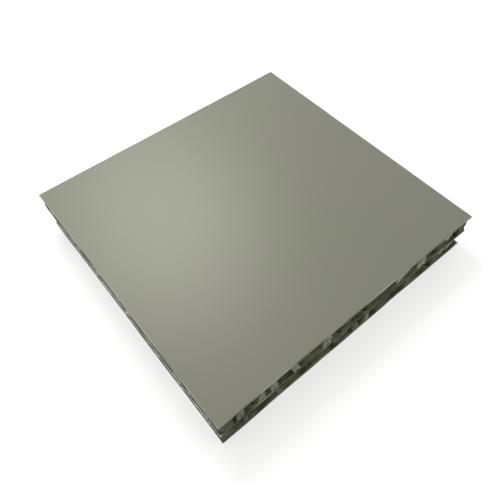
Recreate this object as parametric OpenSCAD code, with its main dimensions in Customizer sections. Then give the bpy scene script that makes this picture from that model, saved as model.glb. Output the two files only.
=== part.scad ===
// Nearly square honeycomb panel: a painted front sheet, a middle sheet and a back sheet,
// with a foil honeycomb core bonded between each two of them.
// Z is up through the panel, from the back sheet's outer face at 0 to the painted face.
// The foil ribbons run along Y and lie side by side along X.

/* [Panel] */
// Width of the panel, across the foil ribbons
panel_w = 200; // [120:1:260]
// Length of the panel, along the foil ribbons
panel_l = 203; // [120:1:260]

/* [Sheets] */
// Thickness of the painted front sheet
front_sheet_t = 1; // [0.5:0.1:2]
// Thickness of the sheet between the two cores
middle_sheet_t = 0.8; // [0.3:0.1:2]
// Thickness of the back sheet
back_sheet_t = 0.8; // [0.4:0.1:2]

/* [Adhesive films] */
// Thickness of each film of adhesive between a sheet and a core
film_t = 0.2; // [0.1:0.05:0.5]
// How far the films stop short of the sheets' edges
film_inset = 0.2; // [0:0.1:2]

/* [Honeycomb cores] */
// Height of the upper core
upper_core_h = 13; // [6:0.5:30]
// Height of the lower core
lower_core_h = 13; // [6:0.5:30]
// Length of one side of a hexagonal cell
cell_side = 7.1; // [6:0.05:12]
// Thickness of the foil
foil_t = 0.08; // [0.05:0.01:0.2]
// How far the lower core is slid along its ribbons, out of step with the upper one
lower_core_slide = -1; // [-20:0.5:20]

/* [Sawn edges] */
// How far the cores stand back from the sheets' edges
core_inset = 0.3; // [0.2:0.1:3]
// Deepest set-back of a torn ribbon end
tear_depth = 2.4; // [0:0.1:4]
// Longest tab that the saw has folded over at a ribbon end
tab_l = 2.4; // [0.3:0.1:2.5]
// Deepest dent in the outer walls of the cores
dent_depth = 2.6; // [0:0.1:4]
// Length, along the ribbons, of the core that has broken out of two opposite corners
lost_corner_l = 10; // [2:0.5:14]
// Width, across the ribbons, of the core that has broken out of the same corners
lost_corner_w = 16; // [2:0.5:24]

/* [Hidden] */
// A ribbon is a wave of flats and 60 degree walls, all one cell side long
flat_pitch = 1.5 * cell_side;
wave_h = cell_side * sin(60);
// Neighbouring ribbons touch flat on flat, so their pitch holds one thickness of foil
ribbon_pitch = wave_h + foil_t;
rows = floor((panel_w - 2 * core_inset) / (2 * ribbon_pitch));
ribbons = 2 * rows;
last_flat = ceil((panel_l / 2 + abs(lower_core_slide)) / flat_pitch) + 1;

// Steps, in degrees, that make dents, tears and tabs differ from one place to the next
dent_step = 137.5;
tear_step = 287;
tab_step = 59;
least_tab_share = 0.2;
// A bend closer than this to a ribbon's end is left out
end_clearance = 2 * foil_t;
upper_seed = 0;
lower_seed = 5;

core_half_w = panel_w / 2 - core_inset;
core_half_l = panel_l / 2 - core_inset;

back_film_z = back_sheet_t;
lower_core_z = back_film_z + film_t;
middle_back_film_z = lower_core_z + lower_core_h;
middle_sheet_z = middle_back_film_z + film_t;
middle_front_film_z = middle_sheet_z + middle_sheet_t;
upper_core_z = middle_front_film_z + film_t;
front_film_z = upper_core_z + upper_core_h;
front_sheet_z = front_film_z + film_t;

paint_colour = [0.58, 0.59, 0.53];
mill_colour = [0.74, 0.75, 0.76];
foil_colour = [0.45, 0.44, 0.33];
film_colour = [0.56, 0.53, 0.43];

function two_digits(i) = str(i < 10 ? "0" : "", i);
function upper_row_name(i) = str("upper_cell_row_", two_digits(i));
function lower_row_name(i) = str("lower_cell_row_", two_digits(i));

// A value from 0 to 1 that varies from one index to the next without repeating
function uneven(i, step) = 0.5 + 0.5 * sin(i * step);

function reversed(list) = [for (i = [len(list) - 1:-1:0]) list[i]];
function left_normal(p, q) = [p[1] - q[1], q[0] - p[0]] / norm(q - p);

// Shift that keeps both walls at a bend at their full thickness
function mitre(n1, n2) = (n1 + n2) / (1 + n1 * n2);

// The line moved sideways by a distance, with mitred bends and square ends
function beside(line, distance) =
    let (last = len(line) - 1)
    [for (i = [0:last])
        let (before = left_normal(line[max(i - 1, 0)], line[max(i, 1)]))
        let (after = left_normal(line[min(i, last - 1)], line[min(i + 1, last)]))
        line[i] + distance * mitre(before, after)];

// Flats lie in turn on the two sides of a ribbon, and the next ribbon starts on the other side
function flat_side(ribbon, flat) = (ribbon + flat) % 2 == 0 ? -1 : 1;

// Only the flats that face the panel's left or right edge are dented
function is_outer(ribbon, side) = (ribbon == 1 && side < 0) || (ribbon == ribbons && side > 0);
function dent(ribbon, flat, side, seed) =
    is_outer(ribbon, side) ? dent_depth * uneven(flat + seed + ribbon, dent_step) : 0;

function ribbon_x(ribbon) = (ribbon - (ribbons + 1) / 2) * ribbon_pitch;

// Whole wave of one ribbon, two points for each flat
function ribbon_wave(ribbon, slide, seed) =
    [for (flat = [-last_flat:last_flat])
        let (side = flat_side(ribbon, flat))
        let (x = ribbon_x(ribbon) + side * (wave_h / 2 - dent(ribbon, flat, side, seed)))
        for (end = [-1, 1])
            [x, slide + flat * flat_pitch + end * cell_side / 2]];

function wave_x(wave, y) = lookup(y, [for (point = wave) [point[1], point[0]]]);

// Core that is lost at a ribbon's end, which runs out to nothing away from the broken corner
function corner_loss(ribbon, end) =
    lost_corner_l * max(0, 1 - (core_half_w - end * ribbon_x(ribbon)) / lost_corner_w);

// Where a ribbon ends after tearing, at the low end (-1) or the high end (1) of its length
function ribbon_end(ribbon, end, seed) =
    end * (core_half_l - corner_loss(ribbon, end)
        - tear_depth * pow(uneven(ribbon + end * (seed + 1), tear_step), 2));

// Tip of the tab at a ribbon's end, folded towards the middle of the ribbon's own wave
function tab_tip(ribbon, end, foot, seed) =
    let (way = foot[0] > ribbon_x(ribbon) ? -1 : 1)
    foot + [way * tab_l * max(uneven(ribbon + end * (seed + 1), tab_step), least_tab_share), 0];

// Centre line of one ribbon from tab to tab
function ribbon_line(ribbon, slide, seed) =
    let (wave = ribbon_wave(ribbon, slide, seed))
    let (low = ribbon_end(ribbon, -1, seed))
    let (high = ribbon_end(ribbon, 1, seed))
    let (foot = [wave_x(wave, low), low])
    let (head = [wave_x(wave, high), high])
    concat(
        [tab_tip(ribbon, -1, foot, seed), foot],
        [for (point = wave)
            if (point[1] > low + end_clearance && point[1] < high - end_clearance) point],
        [head, tab_tip(ribbon, 1, head, seed)]
    );

module ribbon_section(ribbon, slide, seed) {
    line = ribbon_line(ribbon, slide, seed);
    polygon(concat(beside(line, foil_t / 2), reversed(beside(line, -foil_t / 2))));
}

// A row of cells: two ribbons bonded flat on flat
module cell_row(row, height, slide, seed) {
    color(foil_colour)
        linear_extrude(height) {
            ribbon_section(2 * row - 1, slide, seed);
            ribbon_section(2 * row, slide, seed);
        }
}

module plate(inset, thickness) {
    linear_extrude(thickness)
        square([panel_w - 2 * inset, panel_l - 2 * inset], center = true);
}

module film(z) {
    color(film_colour)
        translate([0, 0, z])
            plate(film_inset, film_t);
}

module front_sheet() {
    color(paint_colour)
        translate([0, 0, front_sheet_z])
            plate(0, front_sheet_t);
}

module front_film() {
    film(front_film_z);
}

module upper_cell_row(row) {
    translate([0, 0, upper_core_z])
        cell_row(row, upper_core_h, 0, upper_seed);
}

module middle_front_film() {
    film(middle_front_film_z);
}

module middle_sheet() {
    color(mill_colour)
        translate([0, 0, middle_sheet_z])
            plate(0, middle_sheet_t);
}

module middle_back_film() {
    film(middle_back_film_z);
}

module lower_cell_row(row) {
    translate([0, 0, lower_core_z])
        cell_row(row, lower_core_h, lower_core_slide, lower_seed);
}

module back_film() {
    film(back_film_z);
}

module back_sheet() {
    color(mill_colour)
        plate(0, back_sheet_t);
}

front_sheet();
front_film();
for (i = [1:rows])
    upper_cell_row(i);
middle_front_film();
middle_sheet();
middle_back_film();
for (i = [1:rows])
    lower_cell_row(i);
back_film();
back_sheet();
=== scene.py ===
import bpy
import numpy as np
from mathutils import Matrix, Vector


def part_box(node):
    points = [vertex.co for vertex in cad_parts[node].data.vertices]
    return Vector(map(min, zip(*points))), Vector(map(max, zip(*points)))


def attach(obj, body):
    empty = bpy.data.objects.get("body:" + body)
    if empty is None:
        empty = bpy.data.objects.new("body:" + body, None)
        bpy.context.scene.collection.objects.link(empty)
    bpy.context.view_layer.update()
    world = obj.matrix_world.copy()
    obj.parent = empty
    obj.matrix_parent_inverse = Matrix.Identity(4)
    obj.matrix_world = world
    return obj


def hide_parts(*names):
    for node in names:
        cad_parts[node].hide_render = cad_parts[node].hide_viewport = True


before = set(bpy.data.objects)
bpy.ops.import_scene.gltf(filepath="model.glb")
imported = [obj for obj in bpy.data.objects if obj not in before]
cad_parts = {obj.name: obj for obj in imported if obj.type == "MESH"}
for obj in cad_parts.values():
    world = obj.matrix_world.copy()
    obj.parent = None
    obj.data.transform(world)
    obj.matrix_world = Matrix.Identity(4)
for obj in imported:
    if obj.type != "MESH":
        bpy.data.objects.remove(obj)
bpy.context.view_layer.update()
scene = bpy.context.scene
scene.view_settings.view_transform = "Standard"
tiny = 1e-9  # keeps a division clear of nought


def nodeBox(name):
    low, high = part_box(name)
    return np.array(low), np.array(high)


sheetLow, sheetHigh = nodeBox("front_sheet")
panelHalf = (sheetHigh - sheetLow)[:2] / 2  # half width and half length of the panel
panelTop = sheetHigh[2]

# Camera: stands at a compass angle and a height angle round a point on the painted face
view = {
    "aim": (0.04845, -0.01706),
    "azimuth": 50.138,
    "elevation": 57.568,
    "roll": -0.884,
    "distance": 0.27415,
    "lens": 33.147,
    "shift": (-0.05769, 0.03522),
    "clipStart": 0.01,
}


def makeCamera(v):
    a, e, r = np.radians([v["azimuth"], v["elevation"], v["roll"]])
    back = np.array([np.sin(a) * np.cos(e), -np.cos(a) * np.cos(e), np.sin(e)])
    flat = np.array([np.cos(a), np.sin(a), 0.0])
    rise = np.cross(back, flat)
    right = flat * np.cos(r) + rise * np.sin(r)
    up = rise * np.cos(r) - flat * np.sin(r)
    eye = np.array([*v["aim"], panelTop]) + back * v["distance"]
    data = bpy.data.cameras.new("photoCamera")
    data.lens = v["lens"]
    data.shift_x, data.shift_y = v["shift"]
    data.clip_start = v["clipStart"]
    camera = bpy.data.objects.new("photoCamera", data)
    camera.matrix_world = Matrix(np.column_stack([right, up, back, eye]).tolist() + [[0, 0, 0, 1]])
    scene.collection.objects.link(camera)
    scene.camera = camera


makeCamera(view)
print("camera placed")


# Shader maths: a wire is one output socket, and the operators add Math nodes behind it
class Wire:
    def __init__(self, finish, socket):
        self.finish = finish
        self.socket = socket

    def join(self, operation, first, second):
        return self.finish.node("ShaderNodeMath", {"operation": operation}, {0: first, 1: second})

    def __add__(self, other):
        return self.join("ADD", self, other)

    def __sub__(self, other):
        return self.join("SUBTRACT", self, other)

    def __rsub__(self, other):
        return self.join("SUBTRACT", other, self)

    def __mul__(self, other):
        return self.join("MULTIPLY", self, other)

    def size(self):
        return self.join("ABSOLUTE", self, 0.0)

    def least(self, other):
        return self.join("MINIMUM", self, other)

    def most(self, other):
        return self.join("MAXIMUM", self, other)

    __radd__ = __add__
    __rmul__ = __mul__


# A finish is one material; node() makes any node from its type, its settings and its sockets
class Finish:
    def __init__(self, name, world=None):
        self.material = world or bpy.data.materials.new(name)
        self.material.use_nodes = True
        self.tree = self.material.node_tree
        self.tree.nodes.clear()
        self.output = self.tree.nodes.new("ShaderNodeOutputWorld" if world else "ShaderNodeOutputMaterial")

    def node(self, kind, settings=None, sockets=None, out=0):
        made = self.tree.nodes.new(kind)
        for key, value in (settings or {}).items():
            setattr(made, key, value)
        for key, value in (sockets or {}).items():
            if isinstance(value, Wire):
                self.tree.links.new(value.socket, made.inputs[key])
            else:
                made.inputs[key].default_value = value
        return Wire(self, made.outputs[out])

    def coords(self, stretch=(1.0, 1.0, 1.0)):
        place = self.node("ShaderNodeTexCoord", out="Object")
        return self.node("ShaderNodeMapping", {"vector_type": "POINT"}, {"Vector": place, "Scale": stretch})

    def coordinate(self, axis):
        return self.node("ShaderNodeSeparateXYZ", None, {"Vector": self.coords()}, out=axis)

    def noise(self, scale, detail, stretch=(1.0, 1.0, 1.0)):
        return self.node("ShaderNodeTexNoise", None,
                         {"Vector": self.coords(stretch), "Scale": scale, "Detail": detail})

    def attribute(self, name):
        return self.node("ShaderNodeAttribute", {"attribute_name": name}, out="Fac")

    def ramp(self, factor, low, high):
        return self.node("ShaderNodeMapRange", None, {"Value": factor, "From Min": low, "From Max": high})

    # sockets 6 and 7 and output 2 are the colours of a Mix node
    def mix(self, factor, first, second):
        return self.node("ShaderNodeMix", {"data_type": "RGBA"}, {0: factor, 6: first, 7: second}, out=2)

    def bump(self, height, strength, distance):
        return self.node("ShaderNodeBump", None,
                         {"Height": height, "Strength": strength, "Distance": distance})

    def surface(self, shader):
        self.tree.links.new(shader.socket, self.output.inputs["Surface"])
        return self.material

    def principled(self, sockets):
        return self.surface(self.node("ShaderNodeBsdfPrincipled", None, sockets))


def rgb(red, green, blue):
    return (red, green, blue, 1.0)


# Satin metallic paint on the front sheet, with sawn metal, darkened by a painted shade, where the attribute
# "bare" is 1
paintLook = {
    "colour": rgb(0.238, 0.246, 0.188),
    "warm": rgb(0.246, 0.244, 0.192),
    "flake": rgb(0.40, 0.41, 0.34),
    "rim": rgb(0.56, 0.57, 0.50),  # metal that shows where the paint stops
    # sawn metal of the edge, darkened into a painted shade
    "sawn": rgb(0.130, 0.145, 0.100),
    "paintEnds": (0.0, 0.5),       # share of bare metal over which the paint stops
    "rimEnds": (0.6, 1.0),         # and over which the rim passes into the sawn edge
    "cloud": (14, 2), "cloudEnds": (0.35, 0.65),
    "flakeScale": 5200, "flakeEnds": (0.1, 0.7), "flakeShare": 0.12,
    "saw": (2600, 2, (1.0, 1.0, 0.05)), "sawShare": 0.5,
    "peel": (900, 2),
    "metal": 0.12, "edgeMetal": 0.30,
    "roughness": 0.37, "flakeRoughness": 0.05, "edgePolish": 0.02,
    "bump": (0.05, 0.0004),
}


def makePaint(look):
    f = Finish("satinPaint")
    bare = f.attribute("bare")
    cloud = f.ramp(f.noise(*look["cloud"]), *look["cloudEnds"])
    flakes = f.node("ShaderNodeTexVoronoi", None, {"Vector": f.coords(), "Scale": look["flakeScale"]})
    flakeTone = f.ramp(flakes, *look["flakeEnds"])
    tone = f.mix(cloud, look["colour"], look["warm"])
    coat = f.mix(look["flakeShare"] * flakeTone, tone, look["flake"])
    saw = f.noise(*look["saw"])
    # where the smear and painted shade lie, the bright rim passes into the dark sawn colour
    sawn = f.ramp(bare, *look["rimEnds"]).most(f.attribute("smearAndShade"))
    edge = f.mix(look["sawShare"] * saw, f.mix(sawn, look["rim"], look["sawn"]), look["sawn"])
    return f.principled({
        "Base Color": f.mix(f.ramp(bare, *look["paintEnds"]), coat, edge),
        "Metallic": look["metal"] + look["edgeMetal"] * bare,
        "Roughness": look["roughness"] + look["flakeRoughness"] * flakeTone - look["edgePolish"] * bare,
        "Normal": f.bump(f.noise(*look["peel"]) * (1 - bare) + saw * bare, *look["bump"]),
    })


# Mill-finish sheet: rolling lines along the ribbons, faint stains, and a dark olive on the sawn edges that is
# partly smeared adhesive and partly painted shade
millLook = {
    "colour": rgb(0.52, 0.53, 0.51),
    "band": rgb(0.43, 0.44, 0.43),
    "stain": rgb(0.42, 0.42, 0.38),
    "sawn": rgb(0.74, 0.75, 0.67),
    # smeared adhesive, darkened further into a painted shade on the sawn edges
    "smearAndShade": rgb(0.054, 0.062, 0.032),
    "smearAndShadeEnds": (0.0, 0.2),  # share of bare metal over which the smear and painted shade begin
    "lines": (1800, 3, (1.0, 0.012, 1.0)),
    "bands": (210, 4, (1.0, 0.02, 1.0)), "bandEnds": (0.38, 0.66),
    "stains": (26, 4), "stainEnds": (0.45, 0.72), "stainShare": 0.7,
    "metal": 0.85, "edgeLoss": 0.35, "smearAndShadeLoss": 0.40,
    "roughness": 0.28, "lineRoughness": 0.22, "bandRoughness": 0.08,
    "specular": 0.15,
    "bump": (0.12, 0.0002),
}


def makeMill(look):
    f = Finish("millSheet")
    bare = f.attribute("bare")
    # smear and painted shade: a dark olive laid over the sawn edges
    smearAndShade = f.attribute("smearAndShade") * f.ramp(bare, *look["smearAndShadeEnds"])
    lines = f.noise(*look["lines"])
    bands = f.ramp(f.noise(*look["bands"]), *look["bandEnds"])
    stain = f.ramp(f.noise(*look["stains"]), *look["stainEnds"])
    rolled = f.mix(bands, look["colour"], look["band"])
    face = f.mix(look["stainShare"] * stain, rolled, look["stain"])
    return f.principled({
        "Base Color": f.mix(smearAndShade, f.mix(bare, face, look["sawn"]), look["smearAndShade"]),
        "Metallic": look["metal"] - look["edgeLoss"] * bare - look["smearAndShadeLoss"] * smearAndShade,
        "Roughness": look["roughness"] + look["lineRoughness"] * lines + look["bandRoughness"] * bands,
        "Specular IOR Level": look["specular"],
        "Normal": f.bump(lines, *look["bump"]),
    })


# Coated foil: olive conversion coat, darkened by a painted shade, rubbed to bright metal where the attribute
# "bare" is 1
foilLook = {
    # the coat's two olive tones, both darkened by a painted shade
    "coat": rgb(0.062, 0.075, 0.026),
    "dullAndShade": rgb(0.024, 0.030, 0.012),
    "bright": rgb(0.63, 0.67, 0.55),
    "patch": (190, 3), "patchEnds": (0.35, 0.68),
    "scuff": (700, 4), "scuffEnds": (0.38, 0.62), "scuffShare": 0.5,
    "wrinkle": (420, 4),
    "metal": 0.15, "brightMetal": 0.70,
    "roughness": 0.38, "scuffRoughness": 0.16,
    "specular": 0.02,
    "bump": (0.35, 0.0006),
}


def makeFoil(look):
    f = Finish("coatedFoil")
    patch = f.ramp(f.noise(*look["patch"]), *look["patchEnds"])
    scuff = f.ramp(f.noise(*look["scuff"]), *look["scuffEnds"])
    # coat colour, which carries the painted shade
    coat = f.mix(patch, look["coat"], look["dullAndShade"])
    scuffed = (1 - look["scuffShare"]) + look["scuffShare"] * scuff
    rub = (f.attribute("bare") * scuffed).least(1.0)
    return f.principled({
        "Base Color": f.mix(rub, coat, look["bright"]),
        "Metallic": look["metal"] + look["brightMetal"] * rub,
        "Roughness": look["roughness"] + look["scuffRoughness"] * scuff,
        "Specular IOR Level": look["specular"],
        "Normal": f.bump(f.noise(*look["wrinkle"]), *look["bump"]),
    })


# Cured adhesive: dull olive with darker pools, the pool colour also put at the two broken corners as a
# painted shade under the sheet above, and scraped to the metal in a thin rim along the sawn edges
glueLook = {
    "colour": rgb(0.250, 0.265, 0.155),
    # pool colour, also used as the painted shade at the broken corners
    "poolAndShade": rgb(0.078, 0.086, 0.044),
    "scraped": rgb(0.40, 0.40, 0.34),
    "pools": (90, 3), "poolEnds": (0.42, 0.66),
    "grain": (1500, 3),
    "corner": (0.180, 0.192),  # width and length places added up, where the painted shade of a broken corner begins and is full
    "cornerGrain": 0.006, "cornerShare": 0.9,
    "rim": (0.00077, 0.00055), "rimGrain": 0.0003, "rimMetal": 0.5,
    "roughness": 0.40, "grainRoughness": 0.25,
    "specular": 0.15,
    "bump": (0.25, 0.0004),
}


def makeGlue(look):
    f = Finish("curedAdhesive")
    grain = f.noise(*look["grain"])
    x, y = f.coordinate("X"), f.coordinate("Y")
    # painted shade: the pool colour is laid over the broken corners, where the film lies under the sheet
    # above
    broken = f.ramp((x + y).size() + look["cornerGrain"] * grain, *look["corner"])
    pools = f.ramp(f.noise(*look["pools"]), *look["poolEnds"]).most(look["cornerShare"] * broken)
    inward = (float(panelHalf[0]) - x.size()).least(float(panelHalf[1]) - y.size())
    # no scraped rim where the smear and painted shade lie
    rim = f.ramp(inward + look["rimGrain"] * grain, *look["rim"]) * (1 - f.attribute("smearAndShade"))
    return f.principled({
        "Base Color": f.mix(rim, f.mix(pools, look["colour"], look["poolAndShade"]), look["scraped"]),
        "Metallic": look["rimMetal"] * rim,
        "Roughness": look["roughness"] + look["grainRoughness"] * grain,
        "Specular IOR Level": look["specular"],
        "Normal": f.bump(grain, *look["bump"]),
    })


paint = makePaint(paintLook)
mill = makeMill(millLook)
foil = makeFoil(foilLook)
glue = makeGlue(glueLook)
print("finishes made")


# Faces of a grid of points: each cell joins four neighbours, and wrap closes the columns into a tube
def gridFaces(rows, columns, wrap=False):
    index = np.arange(rows * columns).reshape(rows, columns)
    if wrap:
        index = np.concatenate([index, index[:, :1]], axis=1)
    return np.stack([index[:-1, :-1], index[:-1, 1:], index[1:, 1:], index[1:, :-1]], -1).reshape(-1, 4)


# Fan of triangles from one point to each two neighbours on a ring
def fanFaces(middle, ring):
    return np.stack([np.full(len(ring), middle), ring, np.roll(ring, -1)], -1)


# Puts arrays of points and faces into a mesh, with any point attributes, and rides it on the panel
def makePiece(name, points, faces, material, attributes):
    mesh = bpy.data.meshes.new(name)
    mesh.from_pydata(points.tolist(), [], faces)
    for key, values in attributes.items():
        layer = mesh.attributes.new(key, "FLOAT", "POINT")
        layer.data.foreach_set("value", values.astype(np.float32))
    mesh.polygons.foreach_set("use_smooth", np.ones(len(mesh.polygons), dtype=bool))
    mesh.materials.append(material)
    mesh.update()
    piece = bpy.data.objects.new(name, mesh)
    scene.collection.objects.link(piece)
    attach(piece, "root")
    return piece


# Smooth uneven value: a sum of sine waves over one or two coordinates, seeded, from about -1 to 1
waves = {"count": 7, "turns": (0.35, 1.6), "level": 1.4}


def unevenField(seed, u, v, pitchU, pitchV=1.0, w=waves):
    rng = np.random.default_rng(seed)
    turn = rng.uniform(*w["turns"], (2, w["count"]))
    phase = rng.uniform(0, 2 * np.pi, (2, w["count"])).sum(axis=0)
    side = rng.choice([-1.0, 1.0], w["count"])
    total = np.zeros(np.broadcast(u, v).shape)
    for i in range(w["count"]):
        place = u / pitchU * turn[0, i] + side[i] * v / pitchV * turn[1, i]
        total = total + np.sin(2 * np.pi * place + phase[i])
    return total / np.sqrt(w["count"]) / w["level"]


# Sawn slant: the near edge was sawn out of square, so it stands back in proportion to the height. The
# whole length is drawn together for that, and the far edge stays where it is.
sawnSlant = 0.00085


def slanted(y, z):
    return y + sawnSlant * z / panelTop * (1 - y / panelHalf[1]) / 2


# Plates: the profile of half a plate, from the middle of its face round the sawn edge to the middle
# of its back, carried round the outline, so each ring is the outline shrunk by the profile
sheets = {
    "roll": 0.00042,       # rounding of the upper sawn edge
    "under": 0.00010,      # rounding of the lower sawn edge
    "bends": 5,            # points round each of the two
    "faceRings": (0.05, 0.004, 0.0012, 0.0007),
    "wear": (0.2, 0.5, 0.6, 1.0, 1.0),  # share of bare metal round the upper edge
    "worn": 0.0,           # and on the face just inside it,
    "nearWorn": 0.0,       # with what the near side has beyond that
    "wander": 0.00012,     # how far the saw wandered in from the true edge
    "wanderPitch": 0.03,
    "smearAndShade": 0.80,         # how much of the sawn edges is darkened by smeared adhesive and painted shade,
    "nearSmearAndShade": 0.0,      # how much of the near one,
    "smearAndShadeSpread": 0.7,    # and how far that varies
    "smearAndShadePitch": 0.05, "smearAndShadeSeed": 20,
    "smearAndShadeCorner": 0.11,  # how far from the front corner the smear and painted shade cover the edges, in half sides
    "perSide": 90,         # points along each side
}
paintedEdge = dict(sheets, smearAndShade=0.6, nearWorn=0.08, smearAndShadeCorner=0.0)
middleEdge = dict(sheets, worn=0.2, smearAndShade=1.2, nearSmearAndShade=-0.4)
backEdge = dict(sheets, worn=0.2, smearAndShade=0.55)
filmEdge = dict(sheets, roll=0.00008, under=0.00008, wander=0.00030)


# Outline of a plate as a square from -1 to 1: four even rows of points, walked round from the front corner
def plateOutline(perSide):
    along = np.linspace(-1, 1, perSide, endpoint=False)
    one = np.ones_like(along)
    sides = [(one, along), (-along, one), (-one, -along), (along, -one)]
    return np.concatenate([np.stack(side, -1) for side in sides])


# Profile of half a plate, ring by ring: depth in from the edge, height below the face and share of bare
# metal. Each rounded edge is a quarter circle, by one less the sine and one less the cosine of its bend.
def plateProfile(thick, s):
    bend = np.linspace(0, np.pi / 2, s["bends"])
    face = np.array(s["faceRings"])
    flat = np.zeros_like(face)
    depth = [face, s["roll"] * (1 - np.sin(bend)), s["under"] * (1 - np.cos(bend)), face[::-1]]
    height = [flat, s["roll"] * (1 - np.cos(bend)), thick - s["under"] * (1 - np.sin(bend)), flat + thick]
    bare = [flat[1:], [s["worn"]], s["wear"], np.ones_like(bend), flat]
    return np.concatenate(depth)[:, None], np.concatenate(height)[:, None], np.concatenate(bare)[:, None]


# Plate: each point of the outline is drawn in by the profile's depth and the saw's wander, which runs out
# to nothing at the middle. Smeared adhesive with painted shade is an even level plus an uneven field along
# the way round.
def makePlate(name, node, material, s, seed):
    low, high = nodeBox(node)
    size = high - low
    half = size[:2] / 2
    depth, height, bare = plateProfile(size[2], s)
    outline = plateOutline(s["perSide"])
    girth = 4 * size[:2].min()
    around = np.linspace(0, girth, len(outline), endpoint=False)
    saw = s["wander"] * (0.5 + 0.5 * unevenField(seed, around, 0.0, s["wanderPitch"])).clip(0, 1)
    inset = depth + saw * (1 - depth / half.min())
    points = np.empty((*inset.shape, 3))
    points[..., :2] = outline * half * (1 - inset[..., None] / half)
    points[..., 2] = high[2] - height
    middles = [[0, 0, high[2]], [0, 0, low[2]]]
    ring, count = np.arange(len(outline)), inset.size
    faces = gridFaces(*inset.shape, wrap=True)[:, ::-1].tolist()
    faces += fanFaces(count, ring).tolist()
    faces += fanFaces(count + 1, ring + count - len(ring))[:, ::-1].tolist()
    isNear = outline[:, 1] == -1
    lastFaceRing = np.arange(len(bare))[:, None] == len(s["faceRings"]) - 1
    bare = bare + s["nearWorn"] * (isNear & lastFaceRing)
    # smear and painted shade near the front corner
    smearAndShadeCornerMask = ~isNear & (np.hypot(outline[:, 0] - 1, outline[:, 1] + 1) < s["smearAndShadeCorner"])
    level = np.where(isNear, s["nearSmearAndShade"], s["smearAndShade"])
    smearAndShade = level + s["smearAndShadeSpread"] * unevenField(seed + s["smearAndShadeSeed"], around, 0.0, s["smearAndShadePitch"])
    smearAndShade = np.maximum(smearAndShade.clip(0, 1), smearAndShadeCornerMask)
    shares = {"bare": bare, "smearAndShade": smearAndShade}
    shares = {key: np.append(np.broadcast_to(share, inset.shape), [0, 0]) for key, share in shares.items()}
    points = np.vstack([points.reshape(-1, 3), middles])
    points[:, 1] = slanted(points[:, 1], points[:, 2])
    piece = makePiece(name, points, faces, material, shares)
    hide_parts(node)


makePlate("paintedSheet", "front_sheet", paint, paintedEdge, seed=3)
makePlate("middleSheet", "middle_sheet", mill, middleEdge, seed=4)
makePlate("backSheet", "back_sheet", mill, backEdge, seed=5)
makePlate("frontFilm", "front_film", glue, filmEdge, seed=6)
makePlate("middleFrontFilm", "middle_front_film", glue, filmEdge, seed=7)
makePlate("middleBackFilm", "middle_back_film", glue, filmEdge, seed=8)
makePlate("backFilm", "back_film", glue, filmEdge, seed=9)
print("sheets and films made")


# Cores: each ribbon is a wave of flats and sloping walls with a tab folded over at each end
core = {
    "foil": 0.00008,
    "inset": 0.0003,
    "slope": 60,           # degrees between a flat and the wall beside it
    "flats": 14,           # flats each side of the middle one, some past the ends
    "tear": 0.0024, "tearStep": 287,
    "tab": 0.0024, "tabStep": 59, "leastTab": 0.2,
    "dent": 0.0026, "dentStep": 137.5,
    "lostLength": 0.010, "lostWidth": 0.016,
    # share of a broken corner that is lost, at the near and the far end
    "lost": {"upper": (1.0, 0.0), "lower": (1.0, 1.0)},
    "slide": {"upper": 0.0, "lower": -0.001},
    # share of what is lost that still stands, at the top of a core and at its foot
    "kept": {"upper": (0.90, 1.27), "lower": (0.0, 1.0)},
    "keptReach": 0.007, "keptCurve": 1.3,
    # how far the foil stands out at the far corner, at the top of a core and at its foot
    "lean": {"upper": (-0.0026, 0.0028), "lower": (0.0, 0.0)},
    "seed": {"upper": 0, "lower": 5},
    "fieldSeed": {"upper": 7, "lower": 61}, "fieldStep": 100,
    "fine": 0.00045,       # spacing of points near an end
    "close": 0.011,        # how far in from an end they lie so close
    "besideBend": 0.0004,  # and how far before and after a bend the others lie
    "rise": {True: 22, False: 10},  # rows of points up an outer and an inner ribbon
    "rag": 0.75, "ragSpread": 0.45, "ragPitch": 0.6, "leastRag": 0.1,
    "crumple": 0.0011,     # how far torn ends are pushed about
    "outerCrumple": 0.3,   # share of that on the outer ribbons
    "crumplePitch": (0.006, 0.009),
    "reach": 0.0045,       # how far in from an end the crumpling runs
    "ripple": 0.00035,     # unevenness of the outer walls
    "ripplePitch": (0.010, 0.012),
    "bond": 0.6,           # power that keeps the bonded edges still
    "endShine": 1.1,       # how bright the torn ends are rubbed
    "shineTurns": (4000, 200), "shineStep": 60, "leastShine": 0.35,
    "wallShine": 0.04,     # share of that on the ends of the outer walls
}
layers = ("upper", "lower")
rowNames = {layer: sorted(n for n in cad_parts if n.startswith(layer + "_cell_row_"))
            for layer in layers}
innerLow, innerHigh = nodeBox(rowNames["upper"][1])
coreHeight = innerHigh[2] - innerLow[2]
ribbonPitch = (innerHigh[0] - innerLow[0]) / 2
ribbonCount = 2 * len(rowNames["upper"])
waveHeight = ribbonPitch - core["foil"]
slope = np.radians(core["slope"])
cellSide = waveHeight / np.sin(slope)
flatPitch = cellSide * (1 + np.cos(slope))
clearance = 2 * core["foil"]  # of a bend from a ribbon's end, and of the foil from the panel's edge
coreHalf = panelHalf - core["inset"]

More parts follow.
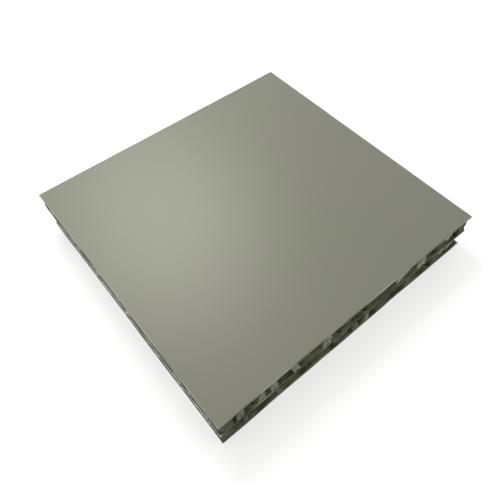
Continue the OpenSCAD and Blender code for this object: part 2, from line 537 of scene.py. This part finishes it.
# Flaps on the outer walls. Each is given by its place along the edge, its half width at the root, its
# shine, and whether it hangs from the sheet above. The lists are by layer, with True for the right side.
flaps = {
    "shine": 0.65,
    "plainShine": 0.08,    # the same for a plain wall, which has a shine of 0 and no tip
    "foot": 0.0006,        # half width at the tip
    "lean": 0.0011,        # how far the tip stands back from the root
    "skewStep": 47, "seedScale": 1000,
    "short": 0.3, "shortStep": 31,
    "taper": 0.8,
    "wave": 0.3, "wavePitch": (0.006, 0.008),
    "blend": (1.2, 0.5),   # where the blend into the wall ends, in half widths, and how wide it is
    "tip": 0.15,
    "crease": 0.0007,
    "middleShine": 0.6,
    "places": {
        ("upper", True): [
            (0.018, 0.0050, 0.0, True), (0.070, 0.0034, 0.7, False), (0.139, 0.0034, 0.9, False),
            (0.184, 0.0030, 0.9, False), (0.266, 0.0034, 0.9, False), (0.378, 0.0040, 0.9, False),
            (0.694, 0.0072, 1.2, True), (0.782, 0.0044, 1.2, False), (0.897, 0.0048, 1.5, True),
        ],
        ("lower", True): [
            (0.012, 0.0040, 0.0, True), (0.085, 0.0024, 0.4, False), (0.205, 0.0024, 0.4, False),
            (0.415, 0.0020, 0.3, True), (0.505, 0.0030, 0.5, False), (0.547, 0.0028, 0.8, False),
            (0.735, 0.0032, 0.5, True), (0.890, 0.0044, 0.9, True), (0.938, 0.0026, 1.3, True),
        ],
        ("upper", False): [
            (0.010, 0.0044, 0.3, False), (0.070, 0.0032, 0.9, True), (0.225, 0.0040, 1.0, False),
            (0.340, 0.0028, 0.7, False), (0.540, 0.0046, 1.0, True), (0.655, 0.0030, 0.8, False),
            (0.860, 0.0038, 1.0, False),
        ],
        ("lower", False): [
            (0.150, 0.0030, 0.7, False), (0.370, 0.0036, 0.9, False), (0.580, 0.0026, 0.7, True),
            (0.790, 0.0040, 0.9, False),
        ],
    },
}


# A value from 0 to 1 that varies from one index to the next, by the same rule as in the solids
def uneven(i, step):
    return 0.5 + 0.5 * np.sin(np.radians(i * step))


# Place of a ribbon across the panel: whole and half pitches from the panel's middle
def ribbonMiddle(ribbon):
    return (ribbon - (ribbonCount + 1) / 2) * ribbonPitch


# Nearness to the broken corner at a ribbon's end: one at the corner, nothing a lost width away from it
def cornerShare(ribbon, end, c):
    return max(0, 1 - (coreHalf[0] - end * ribbonMiddle(ribbon)) / c["lostWidth"])


# Length lost at a ribbon's end: the corner's lost length times that nearness, in the layers that lost it
def cornerLoss(layer, ribbon, end, c):
    return c["lost"][layer][end > 0] * c["lostLength"] * cornerShare(ribbon, end, c)


# Shift of a ribbon's ends at the broken corners: the lost length times the share of it that still stands,
# plus a lean at the far corner. Both pass from their top value to their foot value by a power of the depth.
def cornerShift(layer, ribbon, h, isFar, c):
    depth = (1 - h) ** c["keptCurve"]
    kept, lean = [top + (foot - top) * depth for top, foot in (c["kept"][layer], c["lean"][layer])]
    loss = np.where(isFar, cornerLoss(layer, ribbon, 1, c), -cornerLoss(layer, ribbon, -1, c))
    return loss * kept + np.where(isFar, cornerShare(ribbon, 1, c), 0) * lean


# Corner points of a ribbon seen from above, from tab tip to tab tip, by the same rule as the solids
def ribbonLine(layer, ribbon, c):
    seed, slide, middle = c["seed"][layer], c["slide"][layer], ribbonMiddle(ribbon)
    flats = np.arange(-c["flats"], c["flats"] + 1)
    side = np.where((ribbon + flats) % 2 == 0, -1, 1)
    outer = ((ribbon == 1) & (side < 0)) | ((ribbon == ribbonCount) & (side > 0))
    dent = np.where(outer, c["dent"] * uneven(flats + seed + ribbon, c["dentStep"]), 0)
    x = np.repeat(middle + side * (waveHeight / 2 - dent), 2)
    y = slide + np.repeat(flats * flatPitch, 2) + np.tile([-cellSide / 2, cellSide / 2], len(flats))
    ends = []
    for end in (-1, 1):
        lost = cornerLoss(layer, ribbon, end, c)
        torn = c["tear"] * uneven(ribbon + end * (seed + 1), c["tearStep"]) ** 2
        stop = end * (coreHalf[1] - lost - torn)
        foot = np.array([np.interp(stop, y, x), stop])
        way = -1 if foot[0] > middle else 1
        tab = c["tab"] * max(uneven(ribbon + end * (seed + 1), c["tabStep"]), c["leastTab"])
        ends.append((foot, foot + [way * tab, 0]))
    (nearFoot, nearTip), (farFoot, farTip) = ends
    between = (y > nearFoot[1] + clearance) & (y < farFoot[1] - clearance)
    inner = np.stack([x[between], y[between]], -1)
    return np.vstack([nearTip, nearFoot, inner, farFoot, farTip])


# Length along a line at each of its corners
def cornerPlaces(line):
    return np.concatenate([[0], np.cumsum(np.linalg.norm(np.diff(line, axis=0), axis=1))])


# Places along a ribbon: close together near its ends or, on an outer ribbon, all the way
def ribbonStations(corners, isOuter, c):
    length, close = corners[-1], c["close"]
    if isOuter:
        return np.linspace(0, length, int(length / c["fine"]))
    ends = np.arange(0, close, c["fine"])
    bends = np.concatenate([corners - c["besideBend"], corners + c["besideBend"]])
    bends = bends[(bends > close) & (bends < length - close)]
    return np.sort(np.concatenate([ends, bends, length - ends]))


# Eased share: three squares less two cubes, so that it starts and ends level
def eased(share):
    return share * share * (3 - 2 * share)


# Flaps: where the saw caught an outer wall, the foil is drawn out to the edge in a wedge that is wide at
# its root, on the sheet above or below, and narrow at its tip, and creased along its middle. Inside the
# wedge the wall blends to a plane that leans back from root to tip, and the crease sinks it a little.
def addFlaps(x, y, h, bare, edge, places, f):
    out, side = np.abs(x), np.sign(x)
    for place, wide, shine, hangs in places:
        number = place * f["seedScale"]
        root = h if hangs else 1 - h
        foot = f["foot"] if shine > 0 else wide
        skew = (wide - foot) * (2 * uneven(number, f["skewStep"]) - 1)
        short = f["short"] * uneven(number, f["shortStep"]) * (shine > 0)
        level = ((root - short) / (1 - short)).clip(0, 1)
        half = foot + (wide - foot) * level ** f["taper"]
        wavy = f["wave"] * half * unevenField(int(number), y, h * coreHeight, *f["wavePitch"])
        across = np.abs(y - (2 * place - 1) * panelHalf[1] - skew * (1 - root) + wavy) / half
        beside = ((f["blend"][0] - across) / f["blend"][1]).clip(0, 1)
        inside = eased(beside * ((root - short) / f["tip"] + 1).clip(0, 1))
        plane = edge - f["lean"] * (1 - root) - f["crease"] * (1 - across).clip(0, 1)
        out = out + (np.maximum(plane, out) - out) * inside
        rubbed = f["middleShine"] + (1 - f["middleShine"]) * across.clip(0, 1)
        bare = np.maximum(bare, (f["shine"] * shine or f["plainShine"]) * inside * rubbed)
    return side * out, bare


# Surface of one ribbon: its line carried up through the core's height. Near an end the wall is pushed
# sideways by a smooth uneven field that fades inwards and towards the bonded edges, and the tab's
# length varies with height. On an outer ribbon the same field ripples the whole wall. The shift at a
# broken corner fades inwards by a bell curve.
def ribbonSurface(layer, ribbon, bottom, c):
    line = ribbonLine(layer, ribbon, c)
    corners = cornerPlaces(line)
    length = corners[-1]
    isOuter = ribbon in (1, ribbonCount)
    stations = ribbonStations(corners, isOuter, c)
    rise = np.linspace(0, 1, c["rise"][isOuter])
    seed = c["fieldStep"] * ribbon + c["fieldSeed"][layer]
    s, h = np.meshgrid(stations, rise, indexing="ij")
    # ragged tabs: the part of the line beyond each fold is shortened by a share that varies with height
    ragged = [c["rag"] + c["ragSpread"] * unevenField(seed + k, rise, 0.0, c["ragPitch"]) for k in (0, 1)]
    ragLow, ragHigh = np.clip(ragged, c["leastRag"], 1)
    foldLow, foldHigh = corners[1], corners[-2]
    s = np.where(s < foldLow, foldLow - (foldLow - s) * ragLow, s)
    s = np.where(s > foldHigh, foldHigh + (s - foldHigh) * ragHigh, s)
    # the way along the line, for pushing the wall at right angles to it
    x, y = [np.interp(s, corners, line[:, k]) for k in (0, 1)]
    wayX, wayY = [np.interp(s + c["besideBend"], corners, line[:, k])
                  - np.interp(s - c["besideBend"], corners, line[:, k]) for k in (0, 1)]
    norm = np.hypot(wayX, wayY) + tiny
    nearEnd = np.minimum(s, length - s)
    fade = np.exp(-(nearEnd / c["reach"]) ** 2)
    bonded = np.sin(np.pi * h) ** c["bond"]
    crumple = c["crumple"] * (c["outerCrumple"] if isOuter else 1)
    push = crumple * fade * bonded * unevenField(seed + 2, s, h * coreHeight, *c["crumplePitch"])
    if isOuter:
        push = push + c["ripple"] * bonded * unevenField(seed + 3, s, h * coreHeight, *c["ripplePitch"])
    x, y = x + push * wayY / norm, y - push * wayX / norm
    y = y + cornerShift(layer, ribbon, h, s > length / 2, c) * np.exp(-(nearEnd / c["keptReach"]) ** 2)
    limit = panelHalf - clearance
    turn = uneven(s * c["shineTurns"][0] + h * c["shineTurns"][1], c["shineStep"])
    bare = (fade * c["endShine"] * (c["leastShine"] + (1 - c["leastShine"]) * turn)).clip(0, 1)
    if isOuter:
        places = flaps["places"][layer, ribbon == ribbonCount]
        x, bare = addFlaps(x, y, h, bare * c["wallShine"], limit[0], places, flaps)
    x, y, z = x.clip(-limit[0], limit[0]), y.clip(-limit[1], limit[1]), bottom + h * coreHeight
    return np.stack([x, slanted(y, z), z], -1).reshape(-1, 3), gridFaces(*s.shape), bare.ravel()


# A row of cells: two ribbons side by side in one mesh, with a modifier for the foil's thickness
def makeRow(layer, row, c):
    node = rowNames[layer][row - 1]
    bottom = nodeBox(node)[0][2]
    points, faces, bare, offset = [], [], [], 0
    for ribbon in (2 * row - 1, 2 * row):
        p, f, b = ribbonSurface(layer, ribbon, bottom, c)
        points.append(p)
        faces.append(f + offset)
        bare.append(b)
        offset += len(p)
    piece = makePiece(f"{layer}Foil{row:02d}", np.vstack(points), np.vstack(faces).tolist(), foil,
                      {"bare": np.concatenate(bare)})
    wall = piece.modifiers.new("foilThickness", "SOLIDIFY")
    wall.thickness = c["foil"]
    wall.offset = 0
    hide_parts(node)


for layer in layers:
    for row in range(1, len(rowNames[layer]) + 1):
        makeRow(layer, row, core)
    print(layer, "core made,", len(rowNames[layer]), "rows")


# Adhesive: a bead of glue runs along each foil where it meets a film
beads = {
    "width": 0.0016,
    "height": 0.0006,
    "sink": 0.00008,
    "across": (-0.5, -0.25, -0.08, 0.08, 0.25, 0.5, 0.3, -0.3),  # section, in widths,
    "mound": (0.0, 0.22, 0.9, 0.9, 0.22, 0.0, 0.0, 0.0),         # in heights,
    "sunk": (1.0, 0.0, 0.0, 0.0, 0.0, 1.0, 1.0, 1.0),            # and sunk into the film
    "taper": 0.0006, "leastTaper": 0.02,
    "swell": 0.3, "swellPitch": 0.008, "seed": 900,
}


# Bead along a ribbon: a low mound, highest at the foil and nothing at its sides, carried along the
# ribbon's line, drawn together at both ends and closed there by caps
def beadSurface(layer, ribbon, z, up, b, c):
    line = ribbonLine(layer, ribbon, c)[1:-1]
    corners = cornerPlaces(line)
    stations = ribbonStations(corners, False, c)
    x, y = [np.interp(stations, corners, line[:, k]) for k in (0, 1)]
    way = np.stack([np.gradient(x), np.gradient(y)], -1)
    way /= np.linalg.norm(way, axis=1, keepdims=True) + tiny
    taper = (np.minimum(stations, corners[-1] - stations) / b["taper"]).clip(b["leastTaper"], 1)
    swell = 1 + b["swell"] * unevenField(b["seed"] + ribbon, stations, 0.0, b["swellPitch"])
    size = (taper * swell)[:, None]
    across = np.array(b["across"]) * b["width"] * size
    lift = np.array(b["mound"]) * b["height"] * size - np.array(b["sunk"]) * b["sink"]
    limit = coreHalf + c["inset"] / 2
    x = (x[:, None] - way[:, 1:] * across).clip(-limit[0], limit[0])
    y = (y[:, None] + way[:, :1] * across).clip(-limit[1], limit[1])
    z = z + up * lift
    points = np.stack([x, slanted(y, z), z], -1)
    faces, ring = gridFaces(*across.shape, wrap=True), np.arange(across.shape[1])
    caps = np.stack([ring[::-1], ring + across.size - len(ring)])
    return points.reshape(-1, 3), faces[:, ::-up], caps[:, ::-up]


# All the beads on one film, which run upwards on top of it (1) or downwards under it (-1)
def makeBeads(name, layer, z, up, b, c):
    points, faces, offset = [], [], 0
    for ribbon in range(1, ribbonCount + 1):
        p, tube, caps = beadSurface(layer, ribbon, z, up, b, c)
        points.append(p)
        faces += (tube + offset).tolist() + (caps + offset).tolist()
        offset += len(p)
    makePiece(name, np.vstack(points), faces, glue, {"smearAndShade": np.ones(offset)})


for name, layer, film, up in (("frontBeads", "upper", "front_film", -1),
                              ("middleFrontBeads", "upper", "middle_front_film", 1),
                              ("middleBackBeads", "lower", "middle_back_film", -1),
                              ("backBeads", "lower", "back_film", 1)):
    filmLow, filmHigh = nodeBox(film)
    makeBeads(name, layer, filmHigh[2] if up > 0 else filmLow[2], up, beads, core)
print("adhesive made")


# Floor and light: a white floor that keeps the shadow, one broad soft lamp behind the left side
stage = {
    "floorSize": 6.0,
    "floorDrop": 0.00005,
    "floorLap": 0.003,     # the floor is open under the panel, but for this rim, so its back shows from below
    "floorColour": rgb(0.80, 0.80, 0.79),
    "floorDark": rgb(0.0, 0.0, 0.0),
    "floorLift": rgb(0.56, 0.56, 0.56),
    "worldColour": rgb(1.0, 1.0, 1.0),
    "worldLight": 0.50,
    "keyPlace": (-0.380, 0.063, 0.521),
    "keyAim": (-0.02, -0.055, 0.03),
    "keySize": 0.34,
    "keyPower": 1.42,
    "keyColour": (0.97, 1.0, 0.96),
}


# One for what is seen straight, in a mirror or through glass, and nought for the light that falls on things
def seenDirectly(f):
    paths = [f.node("ShaderNodeLightPath", out=name) for name in
             ("Is Camera Ray", "Is Glossy Ray", "Is Transmission Ray")]
    return paths[0].most(paths[1]).most(paths[2])


def makeFloor(s):
    f = Finish("paleFloor")
    matte = f.node("ShaderNodeBsdfDiffuse", None, {"Color": s["floorColour"]})
    lift = f.mix(seenDirectly(f), s["floorDark"], s["floorLift"])
    glow = f.node("ShaderNodeEmission", None, {"Color": lift})
    f.surface(f.node("ShaderNodeAddShader", None, {0: matte, 1: glow}))
    square = np.array([(-1, -1), (1, -1), (1, 1), (-1, 1)])
    sides = np.arange(len(square))
    nextSides = np.roll(sides, -1)
    faces = np.stack([sides, nextSides, nextSides + len(sides), sides + len(sides)], -1)
    points = np.full((2 * len(square), 3), -s["floorDrop"])
    points[:, :2] = np.vstack([square * s["floorSize"] / 2, square * (panelHalf - s["floorLap"])])
    mesh = bpy.data.meshes.new("floor")
    mesh.from_pydata(points.tolist(), [], faces.tolist())
    mesh.materials.append(f.material)
    floor = bpy.data.objects.new("floor", mesh)
    scene.collection.objects.link(floor)


def makeWorld(s):
    scene.world = bpy.data.worlds.new("paleRoom")
    f = Finish("paleRoom", scene.world)
    glow = s["worldLight"] + (1 - s["worldLight"]) * seenDirectly(f)
    f.surface(f.node("ShaderNodeBackground", None, {"Color": s["worldColour"], "Strength": glow}))


def makeKeyLamp(s):
    data = bpy.data.lights.new("keyLamp", "AREA")
    data.shape = "DISK"
    data.size = s["keySize"]
    data.energy = s["keyPower"]
    data.color = s["keyColour"]
    lamp = bpy.data.objects.new("keyLamp", data)
    way = Vector(s["keyAim"]) - Vector(s["keyPlace"])
    lamp.matrix_world = Matrix.Translation(s["keyPlace"]) @ way.to_track_quat("-Z", "Y").to_matrix().to_4x4()
    scene.collection.objects.link(lamp)


makeFloor(stage)
makeWorld(stage)
makeKeyLamp(stage)
print("floor and light made")
